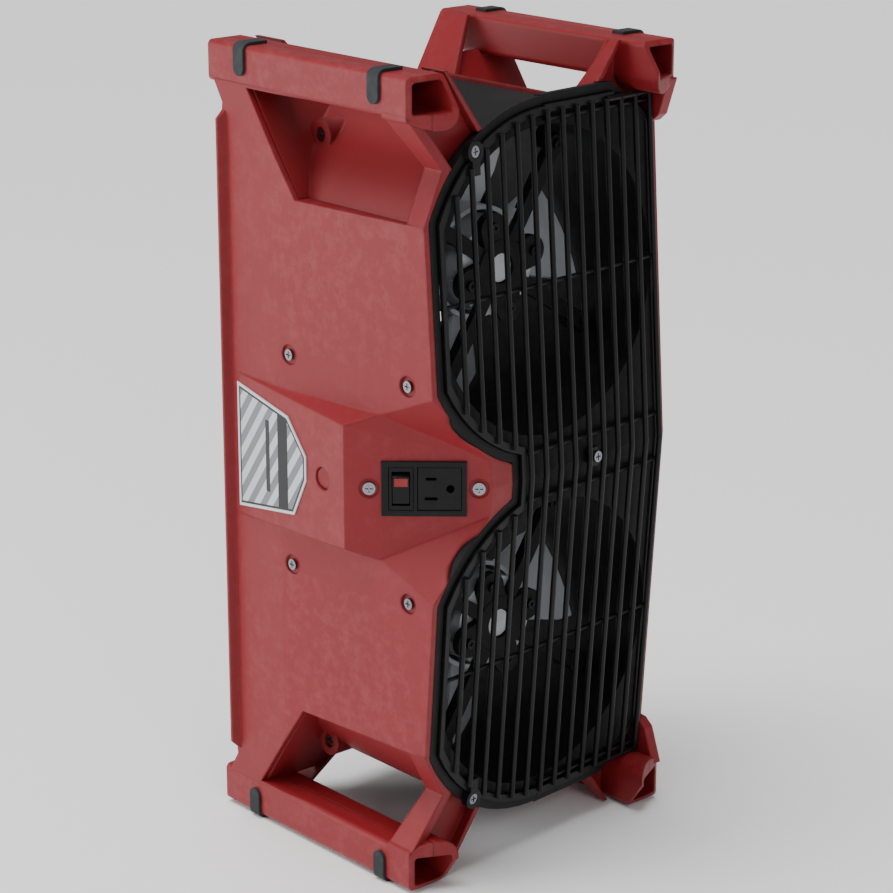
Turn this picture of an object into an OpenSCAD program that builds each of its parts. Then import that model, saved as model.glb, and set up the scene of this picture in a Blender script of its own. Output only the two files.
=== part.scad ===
// Twin-fan axial air mover: two stacked 200 mm fans between moulded side frames with four carry
// handles, a kinked front grille, and a service outlet with its switch on the left side.
// Frame: X to the right, Y to the rear, Z up. The grille faces -Y. The origin is on the floor
// under the middle of the object's box.

/* [Body] */
// Height of the moulded side frames, without pads
body_h = 520; // [516:1:524]
// Distance from the middle to the flat of a side face
side_x = 112; // [111.5:0.5:113]
// Thickness of the outer side covers
wall = 4; // [3.6:0.1:4.2]
// Thickness of the inner side shells
inner_wall = 3.4; // [3:0.1:3.6]
// Rear end of the handle tubes
tube_rear = 103; // [102:0.5:104]
// Rear edge of the side panels
panel_rear = 90; // [89:0.5:91]

/* [Handles] */
// Width of a handle tube across X
tube_w = 29; // [28:0.5:30]
// Height of a handle tube
tube_h = 26; // [25:0.5:27]
// Wall of a handle tube
tube_wall = 3.4; // [3:0.1:4]
// Height of a handle opening below its tube
hole_h = 64; // [60:1:66]

/* [Pads] */
// How far the rubber pads stand proud
pad_t = 2; // [1.5:0.1:2.5]
// Width of a pad along Y
pad_w = 10; // [9:0.5:13]
// How far a pad reaches down a side face
pad_drop = 19; // [16:1:24]

/* [Fans] */
// Bore radius of the fan ducts
duct_r = 97; // [96:0.5:98]
// Tip radius of the fan blades
blade_r = 93; // [88:0.5:94]
// Number of blades on each fan
blade_count = 4; // [3:1:5]
// Radius of the fan hub cup
hub_r = 37; // [36:0.5:38]
// Radius of a motor housing
motor_r = 31; // [30:0.5:32]
// Radius of a motor shaft
shaft_r = 4; // [3.5:0.5:4]

/* [Grille] */
// Spacing of the upright grille bars
bar_pitch = 13.75; // [13.5:0.05:13.8]
// Diameter of a round grille bar
bar_w = 3.7; // [3:0.1:4]
// Lean of each grille half away from the waist, in degrees
lean = 3.9; // [3.5:0.1:4.2]
// Turn of the grille in plan, in degrees
plan = 4.3; // [4:0.1:4.5]

/* [Hidden] */
$fn = 64;

half_h = body_h / 2;
mid_z = pad_t + half_h;
red = [0.62, 0.16, 0.17];
dark_red = [0.42, 0.09, 0.1];
black = [0.07, 0.07, 0.08];
grey = [0.25, 0.26, 0.27];
silver = [0.7, 0.71, 0.73];
blade_grey = [0.55, 0.57, 0.6];
rubber = [0.14, 0.15, 0.16];

// Middles of the fans
fan_x = 5;
fan_dz = 120;
// Front face of the grille frame at X = 0 on the waist line
face_y = -95.8;
// Outline of the grille flange, in its own plane
rim_r = 115;
rim_left = 97.4;
rim_right = 107.6;
rim_top = 236;
rim_chamfer_x = 70;
rim_chamfer_z = 208.5;
waist_x = 35;
waist_z = 12;
// Levels of the handle tubes and openings, measured from mid-height
tube_z = half_h - tube_h;
hole_z = tube_z - hole_h;
// Inner gusset line: from the tube's top inner edge down to the fan housing
gusset_top_x = 77;
gusset_low_x = 47;
gusset_low_z = 218.5;
// Skin of the fan housing, inside the frames
skin_r = 111;
housing_rear = 62;
guard_y = 78;
// Motor stack along Y
bracket_y = -44;
bracket_t = 6;
motor_front = bracket_y + bracket_t;
motor_len = 34;
hub_front = -22;
hub_rear = 20;
// Outlet facet of the left cover: a plane through the ridge and the waist
ridge_x = 121.5;
ridge_y = -38;
ridge_z = 40;
crease_x = 54.5;
crease_y = -99.4;
facet_turn = atan2(ridge_y - crease_y, ridge_x - crease_x);
facet_len = norm([ridge_x - crease_x, ridge_y - crease_y]);
outlet_at = 49.5;
bezel_w = 52.7;
bezel_h = 35.2;
outlet_screw_gap = 68;

// ---- helpers ----

// Both halves of a thing that mirrors about mid-height
module both_halves() {
  translate([0, 0, mid_z]) for (m = [0, 1]) mirror([0, 0, m]) children();
}

// A flat XZ outline drawn as X, Z and given a depth from y0 to y1
module along_y(y0, y1) {
  translate([0, y1, 0]) rotate([90, 0, 0]) linear_extrude(y1 - y0) children();
}

// A flat YZ outline drawn as Y, Z and given a width from x0 to x1
module along_x(x0, x1) {
  translate([x0, 0, 0]) rotate([90, 0, 90]) linear_extrude(x1 - x0) children();
}

// A round bar along Y
module rod_y(r, y0, y1, x = 0, z = 0) {
  translate([x, y1, z]) rotate([90, 0, 0]) cylinder(r = r, h = y1 - y0);
}

// A round bar along X
module rod_x(r, x0, x1, y = 0, z = 0) {
  translate([x0, y, z]) rotate([0, 90, 0]) cylinder(r = r, h = x1 - x0);
}

// The frame of the upper grille half: local -Y looks out, local XZ is its plane
module grille_half(upper = true) {
  translate([0, face_y, mid_z]) rotate([0, 0, plan])
    rotate([upper ? -lean : lean, 0, 0]) mirror([0, 0, upper ? 0 : 1]) children();
}

// Everything in front of the grille face, pushed back by set_back
module ahead_of_face(set_back = 0, reach = 60) {
  for (upper = [true, false]) grille_half(upper)
    translate([-160, set_back - reach, -2]) cube([320, reach, 262]);
}

// The frame of the outlet facet: local X runs from the ridge to the waist, local -Y looks out
module on_facet() {
  translate([-ridge_x, ridge_y, mid_z]) rotate([0, 0, -facet_turn]) children();
}

// A cross-head screw along +Y from its head's underside at y = 0
module screw(head_r = 3.4, r = 1.7, len = 14) {
  difference() {
    union() {
      rod_y(head_r, -2, 0);
      rod_y(r, 0, len);
    }
    for (a = [0, 90]) rotate([0, a, 0]) translate([-head_r * 0.6, -3, -0.45])
      cube([head_r * 1.2, 2.1, 0.9]);
  }
}

// ---- side covers ----

// YZ outline of a side panel, from mid-height
module panel_outline() {
  polygon([[-115, -tube_z - 2], [-115, tube_z + 2], [tube_rear - 5, tube_z + 2],
    [panel_rear - 0.5, tube_z - 12], [panel_rear, tube_z - 16], [panel_rear, -tube_z + 16],
    [panel_rear - 0.5, -tube_z + 12], [tube_rear - 5, -tube_z - 2]]);
}

// YZ outline of a handle opening above mid-height; front is where its front side ends
module hole_outline(front_top, front_low) {
  polygon([[front_low, hole_z], [19.8, hole_z], [64.5, tube_z + 0.1], [front_top, tube_z + 0.1]]);
}

// XY outline of the left panel: flat to the crease, then turned in towards the front
module left_plan(skin) {
  polygon([[-side_x, panel_rear + 20], [-side_x, 38], [-side_x + 12.2, -125],
    [-side_x + 12.2 + skin, -125], [-side_x + skin, 38], [-side_x + skin, panel_rear + 20]]);
}

// Handle tube of the left side between two X levels, with its raked front end
module tube_part(x0, x1) {
  difference() {
    union() {
      intersection() {
        along_y(-105, tube_rear) difference() {
          translate([-side_x, tube_z]) tube_section(tube_w, tube_h, 3.5);
          translate([-side_x + tube_wall, tube_z + tube_wall])
            tube_section(tube_w - 2 * tube_wall, tube_h - 2 * tube_wall, 2);
        }
        translate([x0, -110, tube_z - 5]) cube([x1 - x0, 220, tube_h + 10]);
      }
      intersection() {
        tube_lip();
        translate([x0, -110, tube_z - 9]) cube([x1 - x0, 220, 12]);
      }
    }
    translate([-side_x, -87, 0]) rotate([0, 0, -26.5]) translate([-30, -60, 0])
      cube([90, 60, 300]);
    translate([-150, -87, half_h]) rotate([-36, 0, 0]) translate([0, -40, -60])
      cube([90, 40, 90]);
  }
  intersection() {
    along_y(tube_rear - tube_wall, tube_rear) translate([-side_x, tube_z])
      tube_section(tube_w, tube_h, 3.5);
    translate([x0, 0, tube_z]) cube([x1 - x0, 120, tube_h]);
  }
}

// Thicker underside of a tube near its front end, rounded towards the middle
module tube_lip() along_y(-105, -65)
  polygon([[-side_x, tube_z + 2.5], [-side_x, tube_z - 0.6], [-side_x + 8, tube_z - 4.2],
    [-side_x + 16.5, tube_z - 6.5], [-side_x + 22, tube_z - 6.1], [-side_x + 25.5, tube_z - 4.2],
    [-side_x + 28, tube_z - 1], [-side_x + tube_w, tube_z + 2.5]]);

// Rectangle with rounded corners, standing on its lower left corner
module tube_section(w, h, r) {
  union() {
    translate([r, 0]) square([w - 2 * r, h]);
    translate([0, r]) square([w, h - 2 * r]);
    for (x = [r, w - r]) for (z = [r, h - r]) translate([x, z]) circle(r);
  }
}

// Chevron wall of a front strut on the left cover
module strut_wall() {
  intersection() {
    along_y(-100, -60) difference() {
      polygon([[-side_x, tube_z + 1], [-84.7, 201.3], [-103, hole_z - 1], [-97.5, hole_z - 1],
        [-76.5, 201.3], [-side_x + 8, tube_z + 3]]);
      translate([fan_x, fan_dz]) circle(rim_r + 0.3, $fn = 120);
    }
    along_x(-120, -60) polygon([[-110, tube_z + 4], [-65, tube_z + 4], [-72, 201],
      [-76, hole_z - 2], [-110, hole_z - 2]]);
  }
}

// A small corner block that hulls are stretched between
module corner(x, y, z) { translate([x, y, z]) cube(0.4, center = true); }

// Raised middle of the left cover, with the outlet facet and the tip at the waist
module left_platform() {
  hull() for (s = [-1, 1]) {
    corner(-side_x + 0.2, 84, s * 48);
    corner(-side_x + wall, 84, s * 48);
    corner(-ridge_x + 0.2, ridge_y + 0.2, s * ridge_z);
    corner(-104.8, -52.9, s * 47.3);
    corner(-98, -46, s * 47);
    corner(-crease_x + 0.2, crease_y + 0.2, s * 18.2);
    corner(-waist_x - 0.5, -112, s * 11);
    corner(-waist_x - 0.5, -84, s * 11);
  }
}

// Hollow behind the raised middle
module left_platform_hollow() {
  hull() for (s = [-1, 1]) {
    corner(-side_x + wall, 87, s * 44);
    corner(-80, 87, s * 44);
    corner(-117.3, -36.4, s * 36.5);
    corner(-102.3, -50.2, s * 43.5);
    corner(-53.4, -95, s * 14.3);
    corner(-39.5, -94, s * 7.2);
    corner(-30, -60, s * 7.2);
  }
}

// Sloped wall between the outlet facet and the front rim of the upper fan
module flare() {
  intersection() {
    hull() for (d = [[0, 0, 0], [2.7, 1.3, 2.65]]) {
      translate(d) corner(-106.5, -51.7, 48.2);
      translate(d) corner(-103.2, -103.8, 70.2);
      translate(d) corner(-crease_x + 1, crease_y - 1, 17.6);
    }
    translate([0.03, 0, 0]) linear_extrude(body_h) left_plan(120);
  }
}

// Counterbored screw seat on a side face at the left, from mid-height
module cover_seat(y, z, x) {
  rod_x(6.5, x - 14, x, y, z);
  rod_x(1.9, x - 1, x + 12, y, z);
}

// Places of the four cover screws on the left: Y, Z from mid-height, X of the counterbore floor
left_seats = [[27.2, 70, -109.9], [-77.2, 70, -101.6], [27.2, -70, -109.9], [-77.2, -70, -101.6]];
right_seats = [[27.2, 70, -109.9], [-66, 70, -109.9], [27.2, -70, -109.9], [-66, -70, -109.9]];

// Outward lip along the rear edge of a side cover, drawn on the left
module rear_lip() {
  translate([0, 0, mid_z]) intersection() {
    translate([0, 0, -220]) linear_extrude(440)
      polygon([[-111, 85.6], [-117.4, 88], [-117.4, 90], [-111, 90]]);
    along_y(80, 95) polygon([[-105, 224], [-118, 211.4], [-118, -211.4], [-105, -224]]);
  }
}

// Room that the front rims of the two fans take out of the left side
module rim_room(r) {
  both_halves() intersection() {
    rod_y(r, -140, 0, fan_x, fan_dz, $fn = 120);
    translate([-rim_left - 0.3, -140, 0]) cube([300, 280, 300]);
  }
}

module left_cover() color(red) difference() {
  union() {
    difference() {
      union() {
        translate([0, 0, mid_z]) {
          intersection() {
            translate([0, 0, -half_h]) linear_extrude(body_h) left_plan(wall);
            along_x(-130, -60) difference() {
              panel_outline();
              for (m = [0, 1]) mirror([0, m]) hole_outline(-130, -130);
              polygon([[-38, 34], [-52.6, 38], [-52.6, 49.6], [-99, 69], [-130, 82],
                [-130, -82], [-99, -69], [-52.6, -49.6], [-52.6, -38], [-38, -34]]);
            }
          }
          difference() {
            left_platform();
            left_platform_hollow();
          }
        }
        both_halves() {
          strut_wall();
          ledge();
          flare();
        }
      }
      ahead_of_face(0, 60);
    }
    both_halves() tube_part(-side_x, -side_x + tube_w / 2);
    rear_lip();
  }
  rim_room(rim_r + 0.3);
  flange_room();
  translate([-side_x + wall + 0.05, 69.6, mid_z - 60]) cube([10, 30, 120]);
  translate([0, 0, mid_z]) {
    for (p = left_seats) cover_seat(p[0], p[1], p[2]);
    rod_x(7.5, -130, -side_x - 0.05, -15, 0);
  }
  on_facet() {
    translate([outlet_at - bezel_w / 2 + 1.5, -5, -bezel_h / 2 + 1.5])
      cube([bezel_w - 3, 20, bezel_h - 3]);
    for (s = [-1, 1]) {
      rod_y(2.1, -2, 14, outlet_at + s * outlet_screw_gap / 2, 0);
      rod_y(6.2, -2, 0.9, outlet_at + s * outlet_screw_gap / 2, 0);
    }
    translate([outlet_at - 27.4, wall, -17.9]) cube([54.8, 27, 35.8]);
  }
}

// Inward ledge along the lower side of a handle opening on the left
module ledge() {
  difference() {
    translate([-side_x + 1, -80, hole_z - 3]) cube([14, 99.8, 3]);
    rod_y(rim_r + 0.4, -140, 140, fan_x, fan_dz, $fn = 120);
    translate([-side_x, 38, 0]) rotate([0, 0, 4.28]) translate([-30, -200, 0])
      cube([30, 200, 300]);
  }
}

module right_cover() color(red) mirror([1, 0, 0]) difference() {
  union() {
    difference() {
      union() {
        translate([0, 0, mid_z]) along_x(-side_x, -side_x + wall) difference() {
          panel_outline();
          for (m = [0, 1]) mirror([0, m]) hole_outline(-58, -58);
        }
        translate([0, 0, mid_z]) difference() {
          right_platform();
          right_platform(wall);
        }
      }
      mirror([1, 0, 0]) ahead_of_face(2, 60);
    }
    both_halves() {
      tube_part(-side_x, -side_x + tube_w / 2);
      difference() {
        along_x(-side_x, -104.4) polygon([[-90, tube_z], [-82, 211], [-76, 206], [-60, 204],
          [-60, tube_z + 1], [-90, tube_z + 1]]);
        translate([-side_x + wall, -66, 150]) cube([20, 20, 100]);
      }
    }
    rear_lip();
  }
  mirror([1, 0, 0]) flange_room();
  translate([0, 0, mid_z]) for (p = right_seats) cover_seat(p[0], p[1], p[2]);
}

// Raised middle of the right cover, drawn on the left
module right_platform(inset = 0) {
  hull() for (s = [-1, 1]) {
    translate([-side_x + 0.5 + inset, 84, s * (48 - inset)]) cube(0.5, center = true);
    translate([-side_x + 3.7, 84, s * (48 - inset)]) cube(0.5, center = true);
    translate([-ridge_x + 0.25 + inset, ridge_y, s * (ridge_z - inset)])
      cube(0.5, center = true);
    translate([-side_x + 0.5 + inset, -74, s * (52 - inset)]) cube(0.5, center = true);
    translate([-side_x + 3.7, -74, s * (52 - inset)]) cube(0.5, center = true);
  }
}

// ---- inner frames ----

// XZ strip of the gusset's inner wall, drawn on the left above mid-height
module gusset_strip() {
  polygon([[-gusset_top_x - 3, half_h - 0.2], [-gusset_top_x, half_h - 0.2],
    [-gusset_low_x, gusset_low_z], [-gusset_low_x - inner_wall * 1.3, gusset_low_z]]);
}

// XZ area between the outer wall and the gusset's inner wall
module gusset_area(outer_x) {
  polygon([[-outer_x, tube_z + 2], [-outer_x, 150], [-40, 150], [-gusset_low_x - 1, gusset_low_z],
    [-gusset_top_x - 1, half_h - 1], [-gusset_top_x - 8, half_h - 1]]);
}

// Inner frame drawn on the left: cx is the fan's X there, front the side's own front walls
module inner_frame(cx, skin_x, front, web_y, left) {
  both_halves() difference() {
    union() {
      difference() {
        union() {
          tube_part(-side_x + tube_w / 2, -side_x + tube_w);
          webs(cx, skin_x, web_y);
        }
        if (left) strut_room();
      }
      intersection() {
        difference() {
          along_y(-110, 110) gusset_strip();
          rod_y(skin_r + 0.4, -140, 140, cx, fan_dz, $fn = 120);
        }
        along_x(-120, 0) union() {
          polygon([[front, half_h], [front, gusset_low_z - 2], [-52, gusset_low_z - 2],
            [-64, half_h]]);
          polygon([[70, half_h], [50, gusset_low_z - 2], [panel_rear, gusset_low_z - 2],
            [panel_rear, tube_z - 12], [panel_rear + 6, half_h]]);
        }
      }
      floor_skin(cx, skin_x, web_y);
      translate([-skin_x + 0.4, 70, -1]) cube([2.4, guard_y - 70.5, 201]);
      bosses(cx);
    }
    frame_seat(cx);
  }
}

// Room for the strut walls and the ledge of the left cover
module strut_room() {
  along_y(-120, -64.4) polygon([[-130, tube_z + 2.4], [-side_x + 8.4, tube_z + 2.4],
    [-76.1, 201.3], [-97.1, 165], [-130, 165]]);
  translate([-130, -90, hole_z - 3.4]) cube([33.4, 110.2, 3.8]);
}

// Hole and counterbore for the screw that ties an inner frame to the fan housing
module frame_seat(cx) {
  rod_x(2, cx - 95, cx - 55, 34, 205);
  rod_x(4.6, cx - 95, cx - 79.5, 34, 205);
}

// Curved floor that wraps the fan housing between the panel and the gusset
module floor_skin(cx, skin_x, web_y) {
  intersection() {
    difference() {
      rod_y(rim_r, web_y, guard_y - 0.5, cx, fan_dz, $fn = 120);
      rod_y(rim_r - inner_wall, web_y - 1, panel_rear, cx, fan_dz, $fn = 120);
    }
    translate([-skin_x, -120, hole_z - 22]) cube([skin_x - gusset_low_x - 1, 240, 100]);
  }
}

// Webs that close the front and the rear of a handle opening
module webs(cx, skin_x, web_y) {
  difference() {
    intersection() {
      union() {
        along_y(web_y, web_y + 3) gusset_area(skin_x - 1);
        along_x(-skin_x, -40) polygon([[19.8, hole_z], [64.5, tube_z + 3], [68, tube_z + 3],
          [23.3, hole_z], [23.3, hole_z - 20], [19.8, hole_z - 20]]);
      }
      along_y(-120, 120) gusset_area(skin_x);
    }
    rod_y(rim_r - 0.2, -140, 140, cx, fan_dz, $fn = 120);
    along_y(-110, tube_rear - 6) translate([-side_x, tube_z])
      square([tube_w - 1, tube_h + 2]);
    along_y(-110, -64.4) translate([-side_x - 1, tube_z - 7])
      square([tube_w / 2 + 1.3, 12]);
  }
}

// Screw bosses on the floor skin: one for the fan housing, one for the rear guard
module bosses(cx) {
  difference() {
    rod_y(4.6, 64, guard_y, cx - 90, 195);
    rod_y(1.9, 60, guard_y + 1, cx - 90, 195);
    rod_y(rim_r - 0.2, -140, 140, cx, fan_dz, $fn = 120);
  }
  difference() {
    rod_x(10, cx - 83, cx - 67, 34, 205);
    rod_y(rim_r - 0.2, -140, 140, cx, fan_dz, $fn = 120);
  }
}

module left_inner_frame() color(dark_red) difference() {
  inner_frame(fan_x, side_x - wall, -84, -76.5, true);
  linear_extrude(body_h + 10) polygon([[-side_x + wall, 66], [-side_x + wall + 0.2, 38],
    [-side_x + wall + 12.4, -125], [-150, -125], [-150, 66]]);
  flange_room();
}

module right_inner_frame() color(dark_red) difference() {
  mirror([1, 0, 0]) inner_frame(-fan_x, side_x - wall, -72, -62, false);
  flange_room();
}

// Room that the slab of the front flange takes out of the frames
module flange_room(gap = 0.4) {
  for (upper = [true, false]) grille_half(upper) translate([0, 6 + gap, 0])
    rotate([90, 0, 0]) linear_extrude(8) rim_outline(-gap);
}

// ---- fan housing and grilles ----

// Outline of the front flange, drawn in from its edge by inset
module rim_outline(inset = 0) {
  intersection() {
    union() {
      translate([fan_x, fan_dz]) circle(rim_r - inset, $fn = 120);
      polygon([[fan_x, -1], [fan_x, rim_top - inset], [rim_chamfer_x, rim_top - inset],
        [rim_right, rim_chamfer_z - inset], [rim_right, -1]]);
      translate([-waist_x + inset, -1]) square([rim_right + waist_x, 30]);
    }
    translate([-rim_left + inset, -1]) square([rim_left + rim_right - 2 * inset + 0.01, 300]);
  }
}

module half_flange() {
  translate([0, 6, 0]) rotate([90, 0, 0]) linear_extrude(5) difference() {
    intersection() {
      rim_outline();
      translate([-200, -0.4]) square([400, 300]);
    }
    translate([fan_x, fan_dz]) circle(duct_r - 3, $fn = 120);
  }
  translate([0, 1.01, 0]) rotate([90, 0, 0]) linear_extrude(1) difference() {
    intersection() {
      rim_outline();
      translate([-200, -0.4]) square([400, 300]);
    }
    rim_outline(5.5);
  }
}

module fan_housing() color(black) difference() {
  union() {
    difference() {
      union() {
        for (upper = [true, false]) grille_half(upper) half_flange();
        difference() {
          both_halves() {
            difference() {
              intersection() {
                rod_y(skin_r, -100, housing_rear, fan_x, fan_dz, $fn = 120);
                translate([-93, -120, 0]) cube([93 + 107, 260, 300]);
              }
              rod_y(skin_r - 3, -110, housing_rear - 3, fan_x, fan_dz, $fn = 120);
            }
            rod_y(duct_r + 3, -100, housing_rear, fan_x, fan_dz, $fn = 120);
          }
          ahead_of_face(5.5, 60);
        }
        translate([0, 0, mid_z]) {
          difference() {
            translate([-34, -78, -40]) cube([94, 60, 80]);
            translate([-31, -90, -37]) cube([88, 69, 74]);
          }
          for (p = left_seats) rod_x(5, p[2] + 3.3, -80, p[0], p[1]);
          for (p = right_seats) rod_x(5, 88, -p[2] - 2.6, p[0], p[1]);
        }
      }
      both_halves() rod_y(duct_r, -140, 140, fan_x, fan_dz, $fn = 120);
    }
    for (side = [-1, 1]) translate([fan_x, 0, mid_z + side * fan_dz])
      for (k = [0:3]) rotate([0, -(57 + 90 * k), 0])
        translate([81, motor_front, -6]) cube([17, 11, 12]);
  }
  for (side = [-1, 1]) translate([fan_x, 0, mid_z + side * fan_dz])
    for (k = [0:3]) rotate([0, -(57 + 90 * k), 0]) rod_y(1.8, -60, -20, 87, 0);
  both_halves() {
    rod_x(1.9, -80, -45, 34, 205);
    rod_x(1.9, 50, 90, 34, 205);
  }
  translate([0, 0, mid_z]) {
    for (p = left_seats) rod_x(1.9, p[2], -86, p[0], p[1]);
    for (p = right_seats) rod_x(1.9, 96, -p[2], p[0], p[1]);
  }
  for (p = grille_seats) grille_half(p[1] >= 0) rod_y(1.8, -4, 14, p[0], abs(p[1]));
}

// Places of the grille screws in the grille plane: X, Z from mid-height
grille_seats = [[-59.8, 210.4], [-59.8, -210.4], [40.1, 0]];

// Ends of the grille bar at x: lowest and highest level in the half plane
function bar_low(x) = x < -31 ? fan_dz - sqrt(pow(rim_r - 11, 2) - pow(x - fan_x, 2)) : -0.4;
function bar_high(x) = x < fan_x ? fan_dz + sqrt(pow(rim_r - 11, 2) - pow(x - fan_x, 2)) : 224.5;

module half_grille() {
  translate([0, 0, 0]) rotate([90, 0, 0]) linear_extrude(2.5) difference() {
    intersection() {
      rim_outline(6);
      translate([-200, -0.4]) square([rim_chamfer_x + 200, 300]);
    }
    intersection() {
      union() {
        translate([fan_x, fan_dz]) circle(rim_r - 11, $fn = 120);
        translate([fan_x, -1]) square([120, rim_top - 11 + 1]);
        translate([-waist_x + 10, -1]) square([200, 30]);
      }
      translate([-rim_left + 9.5, -2]) square([220, 300]);
    }
  }
  for (i = [0:14]) {
    x = 102 - i * bar_pitch;
    if (x > -90) translate([x, -3.6, bar_low(x) - (x < -31 ? 3 : 0)])
      cylinder(r = bar_w / 2, h = bar_high(x) - bar_low(x) + (x < -31 ? 5 : 2), $fn = 12);
  }
  rod_x(1.4, -88, 103.5, -1.55, fan_dz, $fn = 8);
  rod_x(1.4, -26, 103.5, -1.55, 15.5, $fn = 8);
  rod_x(1.4, 5, 103.5, -1.55, 221, $fn = 8);
  rod_x(1.7, 62, 103.7, -3.5, 226, $fn = 12);
  translate([0, 0, 0]) difference() {
    union() {
      rod_y(6.6, -5, 0, -59.8, 210.4);
      translate([-63, -5, 196]) cube([6.4, 5, 14]);
    }
    rod_y(3.8, -6, -2.6, -59.8, 210.4);
    rod_y(1.9, -7, 1, -59.8, 210.4);
  }
}

module front_grille() color(black) {
  difference() {
    union() {
      for (upper = [true, false]) grille_half(upper) half_grille();
      grille_half(true) rod_y(6.4, -2.6, 0, grille_seats[2][0], 0);
    }
    grille_half(true) rod_y(1.9, -7, 1, grille_seats[2][0], 0);
    for (s = [0, 1]) grille_half(s == 0) rod_y(1.9, -7, 1, -59.8, 210.4);
  }
}

// Intake guard: a plate with two ringed openings behind the fans
module rear_guard() color(black) difference() {
  union() {
    translate([0, 0, mid_z]) along_y(guard_y, guard_y + 4) difference() {
      rear_outline();
      for (s = [-1, 1]) translate([fan_x, s * fan_dz]) circle(92, $fn = 120);
    }
    translate([0, 0, mid_z]) for (s = [-1, 1]) translate([fan_x, 0, s * fan_dz]) {
      for (r = [26:11:81]) along_y(guard_y + 0.7, guard_y + 3.3) difference() {
        circle(r + 1.3, $fn = 96);
        circle(r - 1.3, $fn = 96);
      }
      for (a = [0:60:300]) rotate([0, a, 0]) translate([14, guard_y + 0.4, -1.6])
        cube([79, 3.2, 3.2]);
      rod_y(16, guard_y, guard_y + 4);
    }
    translate([0, 0, mid_z]) along_y(housing_rear, guard_y) difference() {
      union() for (s = [-1, 1]) translate([fan_x, s * fan_dz]) circle(100, $fn = 120);
      for (s = [-1, 1]) translate([fan_x, s * fan_dz]) circle(duct_r, $fn = 120);
    }
  }
  for (p = guard_seats) translate([p[0], 0, mid_z + p[1]]) rod_y(1.9, 50, 100);
  translate([gland_x, 0, mid_z]) rod_y(8, 50, 100);
}

guard_seats = [[fan_x - 90, 195], [fan_x + 90, 195], [fan_x - 90, -195], [fan_x + 90, -195]];
gland_x = -60;

module rear_outline() {
  difference() {
    translate([-104.6, -214]) square([209.2, 428]);
    for (sx = [-1, 1]) for (sz = [-1, 1]) translate([sx * 105, sz * 214]) rotate(45)
      square(34, center = true);
  }
}

// ---- fans and motors, drawn for the upper fan from mid-height ----

module upper() { translate([0, 0, mid_z]) translate([fan_x, 0, fan_dz]) children(); }
module lower() { translate([0, 0, mid_z]) translate([fan_x, 0, -fan_dz]) children(); }

module motor_bracket() difference() {
  union() {
    rod_y(19, bracket_y, bracket_y + bracket_t - 0.2);
    for (k = [0:3]) {
      rotate([0, -(15 + 90 * k), 0]) translate([0, bracket_y + 0.3, -10.2])
        cube([27, bracket_t - 0.3, 20.4]);
      rotate([0, -(15 + 90 * k), 0]) rod_y(10.5, bracket_y + 0.3, bracket_y + bracket_t, 27, 0);
      rotate([0, -(57 + 90 * k), 0]) {
        translate([12, bracket_y + 1, -4.5]) cube([78, bracket_t - 1.5, 9]);
        translate([40, bracket_y + 2, -1.5]) cube([41, 9, 3]);
        rod_y(6.5, bracket_y + 0.8, bracket_y + bracket_t, 87, 0);
      }
    }
  }
  rod_y(10, bracket_y - 1, bracket_y + 20);
  for (k = [0:3]) {
    rotate([0, -(15 + 90 * k), 0]) rod_y(1.9, bracket_y - 1, bracket_y + 20, 28, 0);
    rotate([0, -(57 + 90 * k), 0]) rod_y(1.9, bracket_y - 1, bracket_y + 20, 87, 0);
  }
  difference() {
    rod_y(130, bracket_y - 5, bracket_y + 20);
    rod_y(duct_r - 0.3, bracket_y - 6, bracket_y + 21);
  }
}

module motor_housing() difference() {
  union() {
    rod_y(motor_r, motor_front, motor_front + motor_len);
    rod_y(9.2, motor_front - 4, motor_front);
    for (k = [0:3]) rotate([0, -(15 + 90 * k), 0])
      rod_y(5, motor_front, motor_front + 10, 27, 0);
  }
  rod_y(motor_r - 2.5, motor_front + 3, motor_front + motor_len + 1);
  rod_y(shaft_r + 0.4, motor_front - 1, motor_front + 9);
  rod_y(8, motor_front - 2, motor_front + 4);
  for (k = [0:3]) rotate([0, -(15 + 90 * k), 0])
    rod_y(1.7, motor_front - 1, motor_front + 5, 28, 0);
}

module motor_endcap() difference() {
  rod_y(motor_r, motor_front + motor_len, motor_front + motor_len + 4);
  rod_y(8, motor_front + motor_len - 1, motor_front + motor_len + 3);
  rod_y(shaft_r + 0.4, motor_front + motor_len - 1, motor_front + motor_len + 5);
}

module stator() {
  difference() {
    rod_y(motor_r - 2.6, motor_front + 8, motor_front + motor_len - 6);
    rod_y(16, motor_front + 7, motor_front + motor_len - 5);
    for (k = [0:5]) rotate([0, 60 * k, 0]) translate([14, motor_front + 7, -2])
      cube([9, motor_len, 4]);
  }
}

module rotor() difference() {
  rod_y(15.4, motor_front + 8, motor_front + motor_len - 6);
  rod_y(shaft_r, motor_front + 7, motor_front + motor_len - 5);
}

module shaft() rod_y(shaft_r, motor_front - 1, hub_rear + 6);

module bearings() {
  for (y = [motor_front - 1.5, motor_front + motor_len - 1]) difference() {
    rod_y(8, y, y + 4);
    rod_y(shaft_r + 0.05, y - 1, y + 5);
  }
}

// Fan with cup hub: the cup opens forward around the motor
module fan() difference() {
  union() {
    difference() {
      rod_y(hub_r, hub_front, hub_rear);
      rod_y(hub_r - 3, hub_front - 1, hub_rear - 4);
    }
    rod_y(9, 3, hub_rear - 3);
    for (k = [0:blade_count - 1]) rotate([0, 360 / blade_count * k - 3, 0]) blade();
  }
  rod_y(shaft_r, -30, hub_rear + 2);
}

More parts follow.
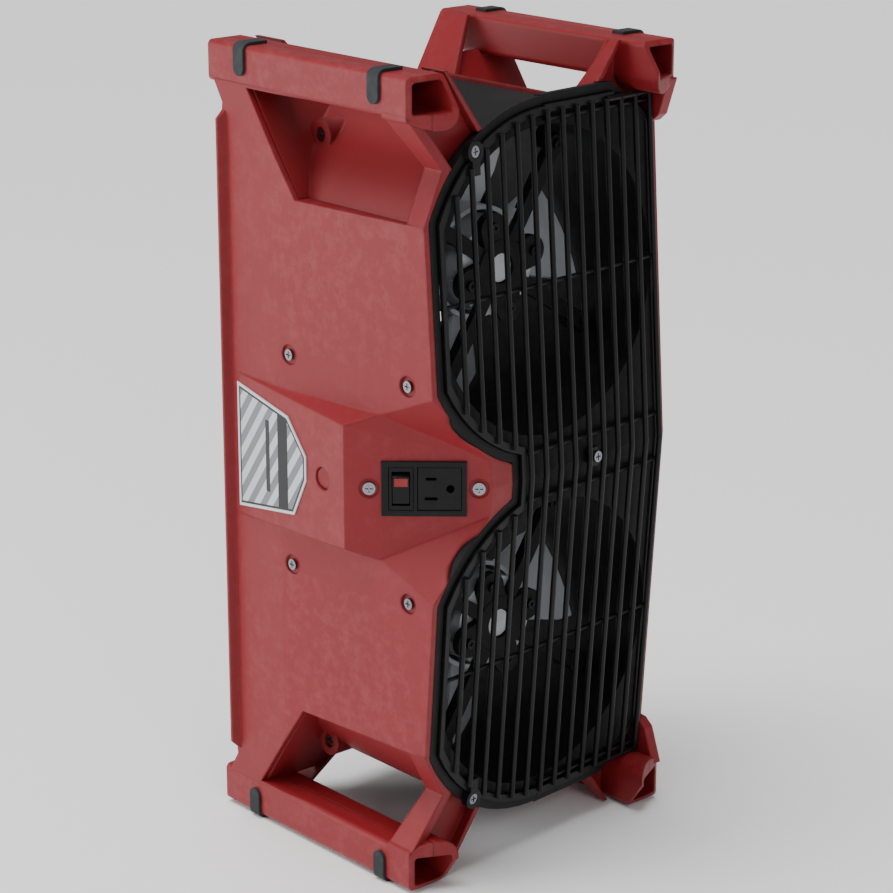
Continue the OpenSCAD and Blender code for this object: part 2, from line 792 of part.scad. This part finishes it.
// One blade: a pitched slab that fans out, trimmed to the tip circle
module blade() intersection() {
  translate([hub_r - 2, 0, 0]) rotate([-32, 0, 0]) translate([0, -1.2, 0])
    rotate([90, 0, 0]) mirror([0, 0, 1]) linear_extrude(2.4)
      polygon([[0, -17], [20, -27], [42, -34], [60, -35], [70, -30], [70, 34], [40, 30], [18, 22],
        [0, 17]]);
  difference() {
    rod_y(blade_r, hub_front + 2, hub_rear + 12);
    rod_y(hub_r - 1, hub_front - 9, hub_rear + 30);
  }
}

module hub_nut() difference() {
  translate([0, hub_rear + 5, 0]) rotate([90, 0, 0]) cylinder(r = 8, h = 5, $fn = 6);
  rod_y(shaft_r, hub_rear - 2, hub_rear + 8);
}

module upper_motor_bracket() color(black) upper() motor_bracket();
module lower_motor_bracket() color(black) lower() motor_bracket();
module upper_motor_housing() color(grey) upper() motor_housing();
module lower_motor_housing() color(grey) lower() motor_housing();
module upper_motor_endcap() color(grey) upper() motor_endcap();
module lower_motor_endcap() color(grey) lower() motor_endcap();
module upper_stator() color(silver) upper() stator();
module lower_stator() color(silver) lower() stator();
module upper_rotor() color(silver) upper() rotor();
module lower_rotor() color(silver) lower() rotor();
module upper_shaft() color(silver) upper() shaft();
module lower_shaft() color(silver) lower() shaft();
module upper_bearings() color(silver) upper() bearings();
module lower_bearings() color(silver) lower() bearings();
module upper_fan() color(blade_grey) upper() fan();
module lower_fan() color(blade_grey) lower() fan();
module upper_hub_nut() color(silver) upper() hub_nut();
module lower_hub_nut() color(silver) lower() hub_nut();

// ---- outlet, switch and wiring ----

module outlet_bezel() color(black) on_facet() translate([outlet_at, 0, 0]) difference() {
  union() {
    translate([-bezel_w / 2, -1.6, -bezel_h / 2]) cube([bezel_w, 1.6, bezel_h]);
    translate([-bezel_w / 2 + 2, 0, -bezel_h / 2 + 2]) cube([bezel_w - 4, 9, bezel_h - 4]);
  }
  translate([-22, -3, -14]) cube([15.5, 20, 28]);
  translate([-4.2, -3, -14]) cube([27.5, 20, 28]);
}

module outlet_receptacle() color(black) on_facet() translate([outlet_at, 0, 0]) difference() {
  union() {
    translate([-3.9, -1.1, -13.7]) cube([26.9, 14, 27.4]);
  }
  translate([1.2, -3, 5.55]) cube([6.4, 12, 1.7]);
  translate([0.4, -3, -7.2]) cube([8, 12, 1.7]);
  rod_y(2.5, -3, 9, 16.3, 0);
  for (z = [6.4, -6.35]) translate([-0.1, 8.8, z - 2.7]) cube([9, 6, 5.4]);
}

module outlet_contacts() color(silver) on_facet() translate([outlet_at, 0, 0]) {
  for (z = [6.4, -6.35]) difference() {
    translate([0.2, 9, z - 2.4]) cube([8.4, 3.8, 4.8]);
    translate([1, 8, z - 0.8]) cube([6.8, 6, 1.6]);
  }
}

module rocker_switch_frame() color(black) on_facet() translate([outlet_at - 14.25, 0, 0])
  difference() {
    translate([-7.5, -1.3, -13.8]) cube([15, 16, 27.6]);
    translate([-5.6, -3, -11]) cube([11.2, 14, 22]);
  }

// Rocker: turns on a pin along the facet's X, halfway up the switch; at rest its lower end is in
rocker_pin = 5.2;
rocker_tilt = 8;

module on_rocker() on_facet() translate([outlet_at - 14.25, rocker_pin, 0])
  rotate([rocker_tilt, 0, 0]) children();

module rocker() color(black) on_rocker() difference() {
  union() {
    intersection() {
      rod_x(10.4, -5.2, 5.2, -2, 0);
      translate([-5.2, -7.2, -10.2]) cube([10.4, 8.2, 20.4]);
    }
    rod_x(1.5, -5.45, 5.45, 0, 0);
  }
  translate([-4.2, -9, 2.6]) cube([8.4, 3.4, 5.6]);
}

module rocker_lens() color([0.75, 0.05, 0.05]) on_rocker()
  translate([-4.2, -7.1, 2.6]) cube([8.4, 1.5, 5.6]);

module wiring_box() color(grey) on_facet() translate([outlet_at, 0, 0]) difference() {
  translate([-27, wall + 0.1, -17.5]) cube([54, 26, 35]);
  translate([-25.3, 0, -15.9]) cube([50.6, 28, 31.8]);
  translate([-12, 20, 0]) rod_y(4, 0, 20);
}

capacitor_x = side_x - wall - 9.6;
capacitor_seats = [-19, 29];

module run_capacitors() color(silver) for (y = capacitor_seats)
  translate([capacitor_x, y, mid_z - 21]) cylinder(r = 8, h = 42);

module capacitor_clip() color(silver) difference() {
  union() {
    translate([side_x - wall - 1.6, -30, mid_z - 6]) cube([1.6, 70, 12]);
    for (y = capacitor_seats) translate([capacitor_x, y, mid_z - 6]) cylinder(r = 9.4, h = 12);
  }
  for (y = capacitor_seats) translate([capacitor_x, y, mid_z - 10]) cylinder(r = 8.1, h = 20);
}

module cable_gland() color(black) translate([gland_x, 0, mid_z]) difference() {
  union() {
    rod_y(7.9, guard_y - 6, guard_y + 4);
    translate([0, guard_y + 10, 0]) rotate([90, 0, 0]) cylinder(r = 11, h = 6, $fn = 6);
    translate([0, guard_y - 1, 0]) rotate([90, 0, 0]) cylinder(r = 11, h = 5, $fn = 6);
  }
  rod_y(4.2, guard_y - 10, guard_y + 20);
}

module side_badge() color(silver) translate([0, 0, mid_z]) {
  turn = atan2(ridge_x - side_x - 0.0, 84 - ridge_y);
  translate([-side_x - 0.05, 84, 0]) rotate([0, 0, -turn]) along_x(-0.9, -0.05)
    polygon([[-5, 42], [-62, 32], [-82, 10], [-82, -6], [-68, -32], [-5, -42]]);
}

// ---- pads ----

// One rubber pad over the corner of a handle tube, drawn at the left top
module pad(y) {
  intersection() {
    along_y(y - pad_w / 2, y + pad_w / 2) difference() {
      union() {
        translate([-side_x - pad_t, half_h - pad_drop]) square([pad_t, pad_drop - 3.5]);
        translate([-side_x + 3.5, half_h]) square([tube_w - 15, pad_t]);
        translate([-side_x + 3.5, half_h - 3.5]) intersection() {
          circle(3.5 + pad_t);
          translate([-10, 0]) square(10);
        }
      }
      translate([-side_x + 3.5, half_h - 3.5]) circle(3.5);
    }
    translate([0, y, half_h]) union() {
      rod_x(pad_w / 2, -side_x - 5, 0, 0, -pad_drop + pad_w / 2);
      translate([-side_x - 5, -pad_w / 2, -pad_drop + pad_w / 2])
        cube([tube_w, pad_w, pad_drop]);
    }
  }
}

module pad_set() for (side = [0, 1]) mirror([side, 0, 0])
  for (y = [70 + 5 * side, -59 + 5 * side]) pad(y);

module top_pads() color(rubber) translate([0, 0, mid_z]) pad_set();
module floor_pads() color(rubber) translate([0, 0, mid_z]) mirror([0, 0, 1]) pad_set();

// ---- fasteners ----

module side_screw(len = 14) { rotate([0, 0, -90]) screw(3.6, 1.7, len); }

module left_cover_screws() color(silver) translate([0, 0, mid_z])
  for (p = left_seats) translate([p[2], p[0], p[1]]) side_screw(14);
module right_cover_screws() color(silver) translate([0, 0, mid_z])
  mirror([1, 0, 0]) for (p = right_seats) translate([p[2], p[0], p[1]]) side_screw(12);
module frame_screw_set(cx) for (m = [0, 1]) mirror([0, 0, m])
  translate([cx - 79.5, 34, 205]) side_screw(16);
module left_frame_screws() color(silver) translate([0, 0, mid_z]) frame_screw_set(fan_x);
module right_frame_screws() color(silver) translate([0, 0, mid_z])
  mirror([1, 0, 0]) frame_screw_set(-fan_x);
module grille_screws() color(silver) for (p = grille_seats) grille_half(p[1] >= 0)
  translate([p[0], -2.6, abs(p[1])]) screw(3.6, 1.5, 12);
module rear_guard_screws() color(silver) translate([0, 0, mid_z])
  for (p = guard_seats) translate([p[0], guard_y + 4, p[1]]) mirror([0, 1, 0]) screw(3.4, 1.7, 16);
module bracket_screw_set() for (k = [0:3]) rotate([0, -(57 + 90 * k), 0])
  translate([87, bracket_y + 0.8, 0]) screw(3.4, 1.5, 14);
module motor_screw_set() for (k = [0:3]) rotate([0, -(15 + 90 * k), 0])
  translate([28, bracket_y, 0]) screw(3.2, 1.5, 8);
module upper_bracket_screws() color(silver) upper() bracket_screw_set();
module lower_bracket_screws() color(silver) lower() bracket_screw_set();
module upper_motor_screws() color(silver) upper() motor_screw_set();
module lower_motor_screws() color(silver) lower() motor_screw_set();
module outlet_screws() color(silver) on_facet() for (s = [-1, 1])
  translate([outlet_at + s * outlet_screw_gap / 2, 0.9, 0]) screw(4, 1.9, 12);

left_cover();
right_cover();
left_inner_frame();
right_inner_frame();
fan_housing();
front_grille();
rear_guard();
upper_motor_bracket();
lower_motor_bracket();
upper_motor_housing();
lower_motor_housing();
upper_motor_endcap();
lower_motor_endcap();
upper_stator();
lower_stator();
upper_rotor();
lower_rotor();
upper_shaft();
lower_shaft();
upper_bearings();
lower_bearings();
upper_fan();
lower_fan();
upper_hub_nut();
lower_hub_nut();
outlet_bezel();
outlet_receptacle();
outlet_contacts();
rocker_switch_frame();
rocker();
rocker_lens();
wiring_box();
run_capacitors();
capacitor_clip();
cable_gland();
side_badge();
floor_pads();
top_pads();
left_cover_screws();
right_cover_screws();
left_frame_screws();
right_frame_screws();
grille_screws();
rear_guard_screws();
upper_bracket_screws();
lower_bracket_screws();
upper_motor_screws();
lower_motor_screws();
outlet_screws();
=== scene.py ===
import math

import bmesh
import bpy
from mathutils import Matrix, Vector


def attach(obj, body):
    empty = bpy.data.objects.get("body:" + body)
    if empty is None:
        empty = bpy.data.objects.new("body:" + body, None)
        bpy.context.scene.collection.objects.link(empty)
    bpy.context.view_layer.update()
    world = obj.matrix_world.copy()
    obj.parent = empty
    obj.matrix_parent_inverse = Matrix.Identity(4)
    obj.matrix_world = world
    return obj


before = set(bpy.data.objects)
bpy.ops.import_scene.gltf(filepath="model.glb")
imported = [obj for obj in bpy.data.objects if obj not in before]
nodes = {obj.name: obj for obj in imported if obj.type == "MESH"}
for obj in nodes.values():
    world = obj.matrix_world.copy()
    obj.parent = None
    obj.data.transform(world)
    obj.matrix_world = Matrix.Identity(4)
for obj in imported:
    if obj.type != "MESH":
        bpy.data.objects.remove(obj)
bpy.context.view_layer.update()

MM = 1000.0
MID_HEIGHT = 0.262


# ---------------------------------------------------------------- helpers

def srgb(r, g, b):
    """Linear RGBA of an sRGB colour given in parts of 0..255."""
    def linear(part):
        part = part / 255.0
        return part / 12.92 if part <= 0.04045 else ((part + 0.055) / 1.055) ** 2.4
    return (linear(r), linear(g), linear(b), 1.0)


def darker(colour, share):
    """The same hue at a share of its brightness."""
    return tuple(part * share for part in colour[:3]) + (1.0,)


def place(name, data, at=None, facing=None):
    """A new object of the scene, at a point, with its own +Z turned along facing."""
    o = bpy.data.objects.new(name, data)
    bpy.context.scene.collection.objects.link(o)
    if at is not None:
        o.location = at
    if facing is not None:
        o.rotation_mode = "QUATERNION"
        o.rotation_quaternion = Vector(facing).to_track_quat("Z", "Y")
    return o


class Tree:
    """A material's node tree, with short calls for nodes and links."""

    def __init__(self, name):
        self.mat = bpy.data.materials.new(name)
        self.mat.use_nodes = True
        self.t = self.mat.node_tree
        self.t.nodes.clear()
        self.bsdf = self.node("ShaderNodeBsdfPrincipled")
        out = self.node("ShaderNodeOutputMaterial")
        self.link(self.bsdf.outputs[0], out.inputs["Surface"])

    def node(self, kind, **settings):
        n = self.t.nodes.new(kind)
        for key, value in settings.items():
            setattr(n, key, value)
        return n

    def link(self, a, b):
        self.t.links.new(a, b)

    def feed(self, value, socket):
        """Link a socket, or set a plain number or colour."""
        if hasattr(value, "is_linked"):
            self.link(value, socket)
        else:
            socket.default_value = value

    def shade(self, **inputs):
        """Feed the shader's own inputs, named with _ for a space."""
        for key, value in inputs.items():
            self.feed(value, self.bsdf.inputs[key.replace("_", " ")])

    def coord(self):
        if not hasattr(self, "_coord"):
            self._coord = self.node("ShaderNodeTexCoord").outputs["Object"]
        return self._coord

    def xyz(self):
        n = self.node("ShaderNodeSeparateXYZ")
        self.link(self.coord(), n.inputs[0])
        return n.outputs

    def noise(self, scale, detail=3.0, rough=0.55):
        n = self.node("ShaderNodeTexNoise")
        n.inputs["Scale"].default_value = scale
        n.inputs["Detail"].default_value = detail
        n.inputs["Roughness"].default_value = rough
        self.link(self.coord(), n.inputs["Vector"])
        return n.outputs["Fac"]

    def ramp(self, fac, low, high, top=1.0):
        """0 below low, rising to top at high."""
        n = self.node("ShaderNodeValToRGB")
        start, end = n.color_ramp.elements
        start.position, end.position = low, high
        start.color, end.color = (0, 0, 0, 1), (top, top, top, 1)
        self.link(fac, n.inputs["Fac"])
        return n.outputs["Color"]

    def mix(self, fac, a, b):
        n = self.node("ShaderNodeMix", data_type="RGBA")
        for value, socket in ((fac, 0), (a, 6), (b, 7)):
            self.feed(value, n.inputs[socket])
        return n.outputs[2]

    def scale(self, value, low, high):
        n = self.node("ShaderNodeMapRange")
        n.inputs["To Min"].default_value = low
        n.inputs["To Max"].default_value = high
        self.link(value, n.inputs["Value"])
        return n.outputs["Result"]

    def bump(self, height, strength, distance, under=None):
        n = self.node("ShaderNodeBump")
        n.inputs["Strength"].default_value = strength
        n.inputs["Distance"].default_value = distance
        self.link(height, n.inputs["Height"])
        if under is not None:
            self.link(under, n.inputs["Normal"])
        return n.outputs["Normal"]

    def math(self, op, *values):
        n = self.node("ShaderNodeMath", operation=op)
        for i, value in enumerate(values):
            self.feed(value, n.inputs[i])
        return n.outputs[0]

    def near(self, value, centre, reach):
        """1 where value is within reach of centre, 0 elsewhere."""
        off = self.math("ABSOLUTE", self.math("SUBTRACT", value, centre))
        return self.math("LESS_THAN", off, reach)

    def rounded(self, radius):
        """A normal that is rounded over the edges, as a moulding's edges are."""
        n = self.node("ShaderNodeBevel", samples=4)
        n.inputs["Radius"].default_value = radius
        return n.outputs["Normal"]

    def convex(self):
        """Where the surface is sharply convex: the places that scuff first."""
        geo = self.node("ShaderNodeNewGeometry")
        return self.ramp(geo.outputs["Pointiness"], low=0.52, high=0.62)


# Arguments of Tree.noise for the patches on the surfaces
CLOUDS = dict(scale=9.0, detail=4.0)
SCUFFS = dict(scale=120.0, detail=6.0, rough=0.7)
DUST_PATCHES = dict(scale=26.0, detail=5.0, rough=0.65)
GLOSS_PATCHES = dict(scale=35.0, detail=4.0)
METAL_CLOUDS = dict(scale=30.0, detail=4.0)
METAL_GLOSS_PATCHES = dict(scale=90.0, detail=5.0)
DUST_MOST = 0.16
PLASTIC_DARK, METAL_DARK = 0.94, 0.75
PLASTIC_BUMP, METAL_BUMP, FILM_BUMP = 0.0004, 0.0005, 0.0003


def plastic(name, base, worn, rough, grain, grain_scale, wear, dust=None, edge_r=0.0, shine=0.42):
    """Moulded plastic: fine grain, slight tone changes, scuffed edges, and dust if asked for."""
    t = Tree(name)
    tone = t.ramp(t.noise(**CLOUDS), low=0.3, high=0.8)
    colour = t.mix(tone, base, darker(base, PLASTIC_DARK))
    scuff = t.ramp(t.noise(**SCUFFS), low=0.45, high=0.75)
    worn_share = t.math("MULTIPLY", t.math("MULTIPLY", t.convex(), scuff), wear)
    colour = t.mix(worn_share, colour, worn)
    if dust is not None:
        where = t.ramp(t.noise(**DUST_PATCHES), low=0.5, high=0.85, top=DUST_MOST)
        colour = t.mix(where, colour, dust)
    fine = t.noise(grain_scale, detail=2.0, rough=0.6)
    under = t.rounded(edge_r) if edge_r else None
    t.shade(Base_Color=colour,
            Roughness=t.scale(t.noise(**GLOSS_PATCHES), rough - 0.03, rough + 0.04),
            Specular_IOR_Level=shine,
            Normal=t.bump(fine, grain, PLASTIC_BUMP, under))
    return t.mat


def metal(name, base, rough, metallic, grain, grain_scale=600.0):
    """Metal with a slightly uneven tone and gloss."""
    t = Tree(name)
    tone = t.ramp(t.noise(**METAL_CLOUDS), low=0.4, high=0.75)
    t.shade(Base_Color=t.mix(tone, base, darker(base, METAL_DARK)),
            Metallic=metallic,
            Roughness=t.scale(t.noise(**METAL_GLOSS_PATCHES), rough - 0.08, rough + 0.12),
            Normal=t.bump(t.noise(grain_scale), grain, METAL_BUMP))
    return t.mat


# ---------------------------------------------------------------- the badge's film

BADGE_ORIGIN_Y = 0.084
# Corners in mm along Y and along Z, from BADGE_ORIGIN_Y and MID_HEIGHT
BADGE_OUTLINE = [(-5, 42), (-62, 32), (-82, 10), (-82, -6), (-68, -32), (-5, -42)]
SILVER_RIM, DARK_RIM = 0.0019, 0.0034
STRIPE = 0.0026
STRIPE_RISE, STRIPE_RUN = 0.8, 0.6
BAND_AT, BAND_HALF = -0.056, 0.0055
BAR_AT, BAR_HALF, BAR_HALF_LENGTH = -0.039, 0.0022, 0.024


def inside_outline(t, u, v):
    """How far a point lies inside the outline: the least distance to one of its sides."""
    inside = None
    for (a, b), (c, d) in zip(BADGE_OUTLINE, BADGE_OUTLINE[1:] + BADGE_OUTLINE[:1]):
        length = math.hypot(c - a, d - b)
        nx, ny = (b - d) / length, (c - a) / length
        along = t.math("MULTIPLY_ADD", v, ny, t.math("MULTIPLY", u, nx))
        depth = t.math("SUBTRACT", along, (nx * a + ny * b) / MM)
        inside = depth if inside is None else t.math("MINIMUM", inside, depth)
    return inside


def badge_film():
    """Generic printed film: slanted stripes, a black band and a bar inside a two-tone rim."""
    t = Tree("badge_film")
    _, y, z = t.xyz()
    u = t.math("SUBTRACT", y, BADGE_ORIGIN_Y)
    v = t.math("SUBTRACT", z, MID_HEIGHT)
    slant = t.math("ADD", t.math("MULTIPLY", u, STRIPE_RISE), t.math("MULTIPLY", v, STRIPE_RUN))
    stripes = t.math("GREATER_THAN", t.math("PINGPONG", slant, 2 * STRIPE), STRIPE)
    band = t.near(u, BAND_AT, BAND_HALF)
    bar = t.math("MULTIPLY", t.near(u, BAR_AT, BAR_HALF), t.near(v, 0.0, BAR_HALF_LENGTH))
    inside = inside_outline(t, u, v)
    colour = srgb(196, 198, 202)
    inks = [
        (stripes, srgb(120, 122, 127)),
        (band, srgb(14, 14, 15)),
        (bar, srgb(30, 30, 32)),
        (t.math("LESS_THAN", inside, DARK_RIM), srgb(22, 22, 24)),
        (t.math("LESS_THAN", inside, SILVER_RIM), srgb(205, 207, 210)),
    ]
    for where, ink in inks:
        colour = t.mix(where, colour, ink)
    t.shade(Base_Color=colour,
            Metallic=0.25,
            Roughness=t.scale(t.noise(60.0), 0.28, 0.4),
            Normal=t.bump(t.noise(500.0), 0.04, FILM_BUMP))
    return t.mat


# ---------------------------------------------------------------- materials

red = plastic(
    "red_shell", srgb(131, 29, 35), worn=srgb(166, 88, 90), rough=0.44, grain=0.14,
    grain_scale=1500.0, wear=0.3, edge_r=0.0022, shine=0.32)
red_in = plastic(
    "red_inner", srgb(126, 25, 30), worn=srgb(160, 78, 80), rough=0.47, grain=0.14,
    grain_scale=1500.0, wear=0.2, edge_r=0.0018, shine=0.32)
black = plastic(
    "black_shell", srgb(13, 13, 15), worn=srgb(60, 60, 62), rough=0.6, grain=0.3,
    grain_scale=900.0, wear=0.2, dust=srgb(58, 58, 60), edge_r=0.0006, shine=0.25)
black_bar = plastic(
    "black_bars", srgb(14, 14, 16), worn=srgb(60, 60, 62), rough=0.36, grain=0.06,
    grain_scale=900.0, wear=0.2, edge_r=0.0008, shine=0.22)
gloss = plastic(
    "gloss_black", srgb(10, 10, 11), worn=srgb(50, 50, 50), rough=0.28, grain=0.03,
    grain_scale=900.0, wear=0.2, edge_r=0.0006, shine=0.2)
# Light grey of the blades, made brighter than their own grey as painted light: it stands in for
# lamp light that doesn't reach into the ducts
blade = plastic(
    "blade_grey", srgb(186, 190, 196), worn=srgb(160, 160, 162), rough=0.36, grain=0.05,
    grain_scale=900.0, wear=0.2, dust=srgb(120, 120, 120), edge_r=0.0008)
rubber = plastic(
    "rubber", srgb(40, 43, 46), worn=srgb(84, 86, 86), rough=0.7, grain=0.3,
    grain_scale=700.0, wear=0.3, edge_r=0.0010, shine=0.3)
lens = plastic(
    "lens_red", srgb(138, 14, 16), worn=srgb(220, 90, 90), rough=0.12, grain=0.02,
    grain_scale=500.0, wear=0.1)
# Grey of the cast motor housings and end caps, made lighter than their own dark grey as painted
# light: it stands in for lamp light that doesn't reach into the ducts
cast = metal(
    "cast_metal", srgb(190, 192, 196), rough=0.45, metallic=0.35, grain=0.4, grain_scale=350.0)
steel = metal("steel", srgb(190, 191, 194), rough=0.32, metallic=1.0, grain=0.05)
screw_steel = metal("screw_steel", srgb(138, 140, 146), rough=0.2, metallic=1.0, grain=0.08)
screw_black = metal("screw_black", srgb(42, 42, 45), rough=0.4, metallic=0.8, grain=0.1)
can = metal("can", srgb(200, 202, 205), rough=0.25, metallic=1.0, grain=0.03)
badge = badge_film()

by_node = {
    red: "left_cover right_cover",
    red_in: "left_inner_frame right_inner_frame",
    black: "fan_housing rear_guard upper_motor_bracket lower_motor_bracket wiring_box cable_gland",
    black_bar: "front_grille",
    gloss: "outlet_bezel outlet_receptacle rocker_switch_frame rocker",
    blade: "upper_fan lower_fan",
    rubber: "floor_pads top_pads",
    cast: "upper_motor_housing lower_motor_housing upper_motor_endcap lower_motor_endcap",
    steel: "upper_stator lower_stator upper_rotor lower_rotor upper_shaft lower_shaft "
           "upper_bearings lower_bearings upper_hub_nut lower_hub_nut outlet_contacts "
           "capacitor_clip",
    can: "run_capacitors",
    lens: "rocker_lens",
    badge: "side_badge",
}
material_of = {n: mat for mat, names in by_node.items() for n in names.split()}
for n in nodes:
    if n.endswith("_screws"):
        hidden = "bracket" in n or "motor" in n
        material_of[n] = screw_black if hidden else screw_steel
for n, mat in material_of.items():
    nodes[n].data.materials.clear()
    nodes[n].data.materials.append(mat)


# ---------------------------------------------------------------- floor of the round recess

RECESS_MIDDLE = (-0.1168, -0.0150, MID_HEIGHT)
RECESS_FACING = (-1.0, -0.078, 0.0)
RECESS_RADIUS, RECESS_DEPTH, RECESS_RIM = 0.0074, 0.0016, 0.0003


def recess_floor():
    """A visual-only disc with a chamfered rim that closes the left side's round recess."""
    bm = bmesh.new()
    bmesh.ops.create_cone(bm, cap_ends=True, segments=48, radius1=RECESS_RADIUS,
                          radius2=RECESS_RADIUS, depth=RECESS_DEPTH)
    front = [e for e in bm.edges if all(v.co.z > 0 for v in e.verts)]
    bmesh.ops.bevel(bm, geom=front, offset=RECESS_RIM, segments=2, affect="EDGES")
    mesh = bpy.data.meshes.new("recess_floor")
    bm.to_mesh(mesh)
    bm.free()
    mesh.materials.append(red)
    o = place("recess_floor", mesh, RECESS_MIDDLE, RECESS_FACING)
    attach(o, "frame")


recess_floor()


# ---------------------------------------------------------------- floor, light, camera

FLOOR_HALF = 6.0
FLOOR_COLOUR, FLOOR_ROUGHNESS = (0.95, 0.95, 0.95, 1), 0.7
WORLD_STRENGTH = 0.26
# name, place, the point it is aimed at, side, power
AREA_LIGHTS = [
    ("rear_left", (-2.0, 1.2, 0.9), (0, 0, 0.28), 1.5, 38),
    ("front", (-0.9, -2.2, 1.5), (0, 0, 0.26), 0.7, 12),
]
SUN_FROM, SUN_STRENGTH, SUN_SPREAD = (-0.15, 0.10, 1.0), 3.1, 40
CAMERA_AT = (-1.1528, -1.2924, 0.7974)
CAMERA_AZIMUTH, CAMERA_ELEVATION = -41.66, 17.40
CAMERA_LENS, CAMERA_SENSOR = 111.57, 36.0
CAMERA_NEAR, CAMERA_FAR = 0.05, 50

floor_mesh = bpy.data.meshes.new("floor")
corners = [(-FLOOR_HALF, -FLOOR_HALF, 0), (FLOOR_HALF, -FLOOR_HALF, 0),
           (FLOOR_HALF, FLOOR_HALF, 0), (-FLOOR_HALF, FLOOR_HALF, 0)]
floor_mesh.from_pydata(corners, [], [(0, 1, 2, 3)])
floor_tree = Tree("floor_white")
floor_tree.shade(Base_Color=FLOOR_COLOUR, Roughness=FLOOR_ROUGHNESS)
floor_mesh.materials.append(floor_tree.mat)
floor = place("floor", floor_mesh)

world = bpy.data.worlds.new("studio")
bpy.context.scene.world = world
world.use_nodes = True
sky = world.node_tree.nodes["Background"]
sky.inputs["Color"].default_value = (1.0, 1.0, 1.0, 1)
sky.inputs["Strength"].default_value = WORLD_STRENGTH

for name, at, target, side, power in AREA_LIGHTS:
    light = bpy.data.lights.new(name, "AREA")
    light.energy, light.size = power, side
    place(name, light, at, Vector(at) - Vector(target))
sun = bpy.data.lights.new("overhead", "SUN")
sun.energy, sun.angle = SUN_STRENGTH, math.radians(SUN_SPREAD)
place("overhead", sun, facing=SUN_FROM)

az, el = math.radians(CAMERA_AZIMUTH), math.radians(CAMERA_ELEVATION)
cam_data = bpy.data.cameras.new("camera")
cam_data.lens, cam_data.sensor_width = CAMERA_LENS, CAMERA_SENSOR
cam_data.clip_start, cam_data.clip_end = CAMERA_NEAR, CAMERA_FAR
back = (math.sin(az) * math.cos(el), -math.cos(az) * math.cos(el), math.sin(el))
bpy.context.scene.camera = place("camera", cam_data, CAMERA_AT, back)
